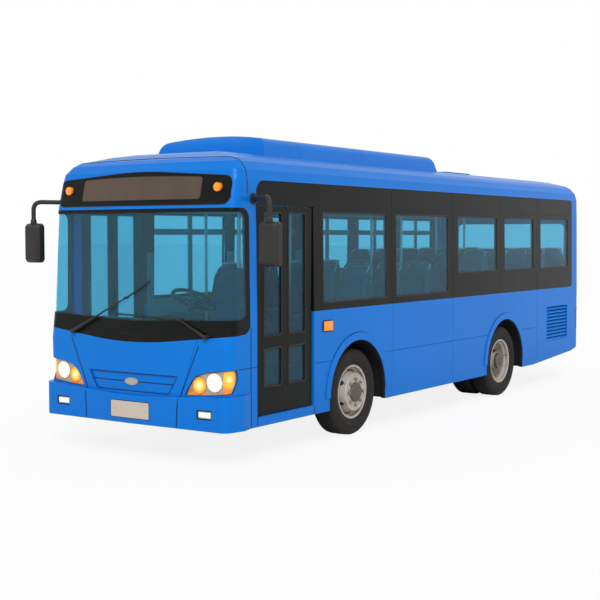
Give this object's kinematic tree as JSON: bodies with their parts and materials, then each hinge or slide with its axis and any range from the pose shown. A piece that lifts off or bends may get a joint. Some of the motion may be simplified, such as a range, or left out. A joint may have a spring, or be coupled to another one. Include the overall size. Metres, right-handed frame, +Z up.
{
  "type": "city bus",
  "caption": "single-deck city bus with folding doors, glazed black side bands, a low roof pod, steered front wheels, twin rear wheels and a rear engine hatch",
  "frame": {"origin": "on the ground under the middle of the body's length and width", "axes": "+X to the bus's left side, -Y to the front, +Z up"},
  "size_m": [3.35, 9.0968, 3.2695],
  "materials": {
    "body_blue": "glossy blue paint",
    "black_trim": "black glazed band and masks",
    "tinted_glass": "tinted window glass",
    "clear_lens": "clear lamp lens",
    "lamp_reflector": "lamp housing",
    "amber_lens": "amber lens",
    "red_lens": "red lens",
    "pale_lens": "pale fog lamp lens",
    "tyre_rubber": "black rubber",
    "wheel_steel": "silver painted steel",
    "chassis_paint": "black chassis paint",
    "engine_grey": "painted cast iron",
    "floor_covering": "ribbed floor covering",
    "seat_fabric": "dark blue seat cloth",
    "dash_plastic": "dark moulded plastic",
    "pole_steel": "brushed steel",
    "mirror_black": "black moulded plastic",
    "tow_steel": "black painted steel"
  },
  "bodies": {
    "root": {"chassis_frame": "chassis_paint", "dashboard": "dash_plastic", "driver_seat": "seat_fabric", "engine_block": "engine_grey", "floor_deck": "floor_covering", "fog_lamps": "pale_lens", "front_axle": "chassis_paint", "front_bumper": "body_blue", "front_frame": "body_blue", "front_mask": "body_blue", "fuel_tank": "chassis_paint", "grab_poles": "pole_steel", "headlamp_housings": "lamp_reflector", "headlamp_lenses": "clear_lens", "leaf_springs": "chassis_paint", "marker_lamps": "amber_lens", "mirrors": "mirror_black", "passenger_seats": "seat_fabric", "rear_axle": "chassis_paint", "rear_bumper": "body_blue", "rear_wall": "body_blue", "rear_window": "tinted_glass", "roof_pod": "body_blue", "roof_shell": "body_blue", "screen_frame": "black_trim", "side_louvres": "body_blue", "side_panels": "body_blue", "side_windows": "tinted_glass", "sign_panel": "black_trim", "steering_wheel": "dash_plastic", "step_wells": "floor_covering", "tail_lamps": "red_lens", "tow_eyes": "tow_steel", "window_bands": "black_trim", "windscreen": "tinted_glass", "wipers": "mirror_black"},
    "engine_hatch": {"engine_hatch": "body_blue"},
    "door_left_rear": {"door_left_rear_leaf": "black_trim", "door_left_rear_glass": "tinted_glass"},
    "door_left_front": {"door_left_front_leaf": "black_trim", "door_left_front_glass": "tinted_glass"},
    "door_right_rear": {"door_right_rear_leaf": "black_trim", "door_right_rear_glass": "tinted_glass"},
    "door_right_front": {"door_right_front_leaf": "black_trim", "door_right_front_glass": "tinted_glass"},
    "knuckle_left": {"knuckle_left": "chassis_paint"},
    "knuckle_right": {"knuckle_right": "chassis_paint"},
    "tie_rod": {"tie_rod": "chassis_paint"},
    "wheel_front_left": {"rim_front_left": "wheel_steel", "tyre_front_left": "tyre_rubber"},
    "wheel_front_right": {"rim_front_right": "wheel_steel", "tyre_front_right": "tyre_rubber"},
    "wheel_rear_left": {"rim_rear_left": "wheel_steel", "tyre_rear_left": "tyre_rubber"},
    "wheel_rear_right": {"rim_rear_right": "wheel_steel", "tyre_rear_right": "tyre_rubber"}
  },
  "joints": [
    {"name": "door_left_rear", "type": "hinge", "parent": "root", "child": "door_left_rear", "pos_m": [1.166, -3.066, 1.4], "axis": [0, 0, 1], "range_deg": [0, 85]},
    {"name": "door_left_front", "type": "hinge", "parent": "door_left_rear", "child": "door_left_front", "pos_m": [1.133, -3.5315, 1.4], "axis": [0, 0, -1], "range_deg": [0, 170]},
    {"name": "door_right_rear", "type": "hinge", "parent": "root", "child": "door_right_rear", "pos_m": [-1.166, -3.066, 1.4], "axis": [0, 0, -1], "range_deg": [0, 85]},
    {"name": "door_right_front", "type": "hinge", "parent": "door_right_rear", "child": "door_right_front", "pos_m": [-1.133, -3.5315, 1.4], "axis": [0, 0, 1], "range_deg": [0, 170]},
    {"name": "engine_hatch", "type": "hinge", "parent": "root", "child": "engine_hatch", "pos_m": [0, 4.528, 1.298], "axis": [1, 0, 0], "range_deg": [0, 75]},
    {"name": "steer_left", "type": "hinge", "parent": "root", "child": "knuckle_left", "pos_m": [0.8, -2.15, 0.479], "axis": [0, 0, 1], "range_deg": [-38, 38]},
    {"name": "steer_right", "type": "hinge", "parent": "root", "child": "knuckle_right", "pos_m": [-0.8, -2.15, 0.479], "axis": [0, 0, 1], "range_deg": [-38, 38]},
    {"name": "tie_rod", "type": "hinge", "parent": "knuckle_left", "child": "tie_rod", "pos_m": [0.8, -1.97, 0.36], "axis": [0, 0, 1], "range_deg": [-38, 38]},
    {"name": "spin_front_left", "type": "hinge", "parent": "knuckle_left", "child": "wheel_front_left", "pos_m": [1.007, -2.15, 0.479], "axis": [1, 0, 0], "continuous": true},
    {"name": "spin_front_right", "type": "hinge", "parent": "knuckle_right", "child": "wheel_front_right", "pos_m": [-1.007, -2.15, 0.479], "axis": [1, 0, 0], "continuous": true},
    {"name": "spin_rear_left", "type": "hinge", "parent": "root", "child": "wheel_rear_left", "pos_m": [1.007, 1.721, 0.479], "axis": [1, 0, 0], "continuous": true},
    {"name": "spin_rear_right", "type": "hinge", "parent": "root", "child": "wheel_rear_right", "pos_m": [-1.007, 1.721, 0.479], "axis": [1, 0, 0], "continuous": true}
  ],
  "couplings": [
    {"joint": "door_left_front", "follows": "door_left_rear", "ratio": 2},
    {"joint": "door_right_front", "follows": "door_right_rear", "ratio": 2},
    {"joint": "steer_right", "follows": "steer_left", "ratio": 1},
    {"joint": "tie_rod", "follows": "steer_left", "ratio": -1}
  ]
}
